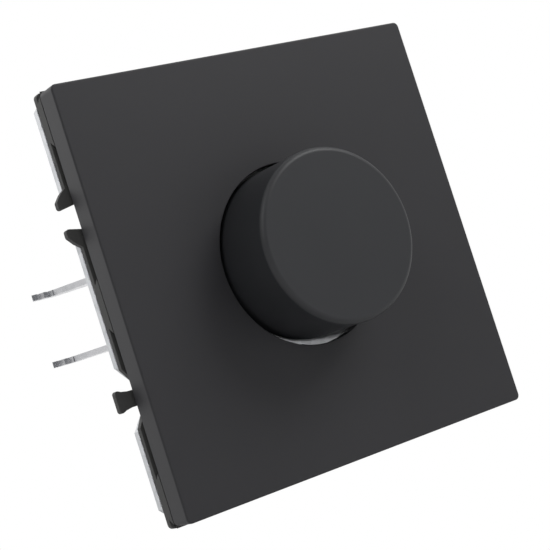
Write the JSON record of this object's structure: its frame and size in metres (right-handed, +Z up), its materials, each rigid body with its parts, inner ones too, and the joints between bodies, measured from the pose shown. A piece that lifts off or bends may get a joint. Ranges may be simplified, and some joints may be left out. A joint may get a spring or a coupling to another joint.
{
  "type": "flush dimmer switch",
  "caption": "Square flush wall dimmer with a round push-and-turn knob, link tabs, steel ring and spreading claws.",
  "frame": {"origin": "middle of the support ring's back face, which lies on the wall", "axes": "+Y into the wall, +Z up, +X to the right as seen from the room"},
  "size_m": [0.0746, 0.0453, 0.0707],
  "materials": {
    "plate_plastic": "satin moulded anthracite plastic",
    "knob_plastic": "satin moulded anthracite plastic",
    "frame_plastic": "moulded charcoal plastic",
    "ring_steel": "galvanised sheet steel",
    "claw_steel": "bright plated sheet steel",
    "screw_steel": "zinc plated",
    "bush_metal": "turned and nickel flashed brass",
    "spindle_metal": "turned aluminium",
    "spring_steel": "drawn spring wire",
    "contact_brass": "stamped brass",
    "housing_plastic": "moulded flame retardant plastic",
    "cover_plastic": "moulded grey plastic",
    "pot_plastic": "moulded thermoset",
    "switch_plastic": "moulded pale grey plastic",
    "track_board": "laminate with a carbon track",
    "board_laminate": "solder masked laminate",
    "ferrite": "sintered ferrite",
    "copper_wire": "enamelled copper wire",
    "capacitor_film": "dipped film capacitor",
    "sink_aluminium": "plain sheet",
    "triac_epoxy": "moulded epoxy",
    "fuse_glass": "clear tube with plated caps",
    "resistor_paint": "lacquered",
    "diac_glass": "orange glass bead"
  },
  "bodies": {
    "insert": {"cover_plate": "plate_plastic", "clip_frame": "frame_plastic", "support_ring": "ring_steel", "bush": "bush_metal", "lock_washer": "screw_steel", "bush_nut": "bush_metal", "potentiometer_body": "pot_plastic", "resistive_track": "track_board", "potentiometer_legs": "contact_brass", "switch_case": "switch_plastic", "contact_posts": "contact_brass", "return_spring": "spring_steel", "housing_cover": "cover_plastic", "housing_shell": "housing_plastic", "assembly_screws": "screw_steel", "circuit_board": "board_laminate", "choke_core": "ferrite", "choke_winding": "copper_wire", "capacitor": "capacitor_film", "heat_sink": "sink_aluminium", "triac": "triac_epoxy", "triac_screw": "screw_steel", "fuse": "fuse_glass", "fuse_clips": "contact_brass", "resistors": "resistor_paint", "diac": "diac_glass", "terminal_cages": "contact_brass", "terminal_screws": "screw_steel", "left_claw_pin": "screw_steel", "right_claw_pin": "screw_steel"},
    "push_core": {"switch_plunger": "switch_plastic", "contact_bridge": "contact_brass"},
    "knob_and_spindle": {"knob": "knob_plastic", "grip_ring": "spring_steel", "spindle": "spindle_metal", "spindle_retainer": "spring_steel"},
    "wiper_rotor": {"rotor": "pot_plastic", "wiper": "contact_brass"},
    "left_claw_body": {"left_claw": "claw_steel"},
    "right_claw_body": {"right_claw": "claw_steel"},
    "left_screw_body": {"left_claw_screw": "screw_steel"},
    "right_screw_body": {"right_claw_screw": "screw_steel"},
    "left_nut_body": {"left_claw_nut": "screw_steel"},
    "right_nut_body": {"right_claw_nut": "screw_steel"}
  },
  "joints": [
    {"name": "knob_push", "type": "slide", "parent": "insert", "child": "push_core", "axis": [0, 1, 0], "range_m": [0, 0.0015], "stiffness_N_per_m": 500, "springref_m": -0.002, "deforming": ["return_spring"]},
    {"name": "knob_turn", "type": "hinge", "parent": "push_core", "child": "knob_and_spindle", "pos_m": [0, -0.0129, 0], "axis": [0, 1, 0], "range_deg": [-150, 150]},
    {"name": "rotor_turn", "type": "hinge", "parent": "insert", "child": "wiper_rotor", "pos_m": [0, 0.0063, 0], "axis": [0, 1, 0], "range_deg": [-150, 150]},
    {"name": "left_screw_turn", "type": "hinge", "parent": "insert", "child": "left_screw_body", "pos_m": [-0.0247, 0, 0.0006], "axis": [0, 1, 0], "range_deg": [-226, 452]},
    {"name": "left_claw_spread", "type": "hinge", "parent": "insert", "child": "left_claw_body", "pos_m": [-0.0211, 0.0066, 0.0006], "axis": [0, 0, 1], "range_deg": [-5, 10]},
    {"name": "left_nut_level", "type": "hinge", "parent": "left_claw_body", "child": "left_nut_body", "pos_m": [-0.0247, 0.0066, 0.0006], "axis": [0, 0, 1], "range_deg": [-10, 5]},
    {"name": "right_screw_turn", "type": "hinge", "parent": "insert", "child": "right_screw_body", "pos_m": [0.0247, 0, 0.0006], "axis": [0, 1, 0], "range_deg": [-226, 452]},
    {"name": "right_claw_spread", "type": "hinge", "parent": "insert", "child": "right_claw_body", "pos_m": [0.0211, 0.0066, 0.0006], "axis": [0, 0, -1], "range_deg": [-5, 10]},
    {"name": "right_nut_level", "type": "hinge", "parent": "right_claw_body", "child": "right_nut_body", "pos_m": [0.0247, 0.0066, 0.0006], "axis": [0, 0, -1], "range_deg": [-10, 5]}
  ],
  "couplings": [
    {"joint": "rotor_turn", "follows": "knob_turn", "ratio": 1},
    {"joint": "left_claw_spread", "follows": "left_screw_turn", "ratio": 0.0221},
    {"joint": "left_nut_level", "follows": "left_screw_turn", "ratio": -0.0221},
    {"joint": "right_claw_spread", "follows": "right_screw_turn", "ratio": 0.0221},
    {"joint": "right_nut_level", "follows": "right_screw_turn", "ratio": -0.0221}
  ]
}
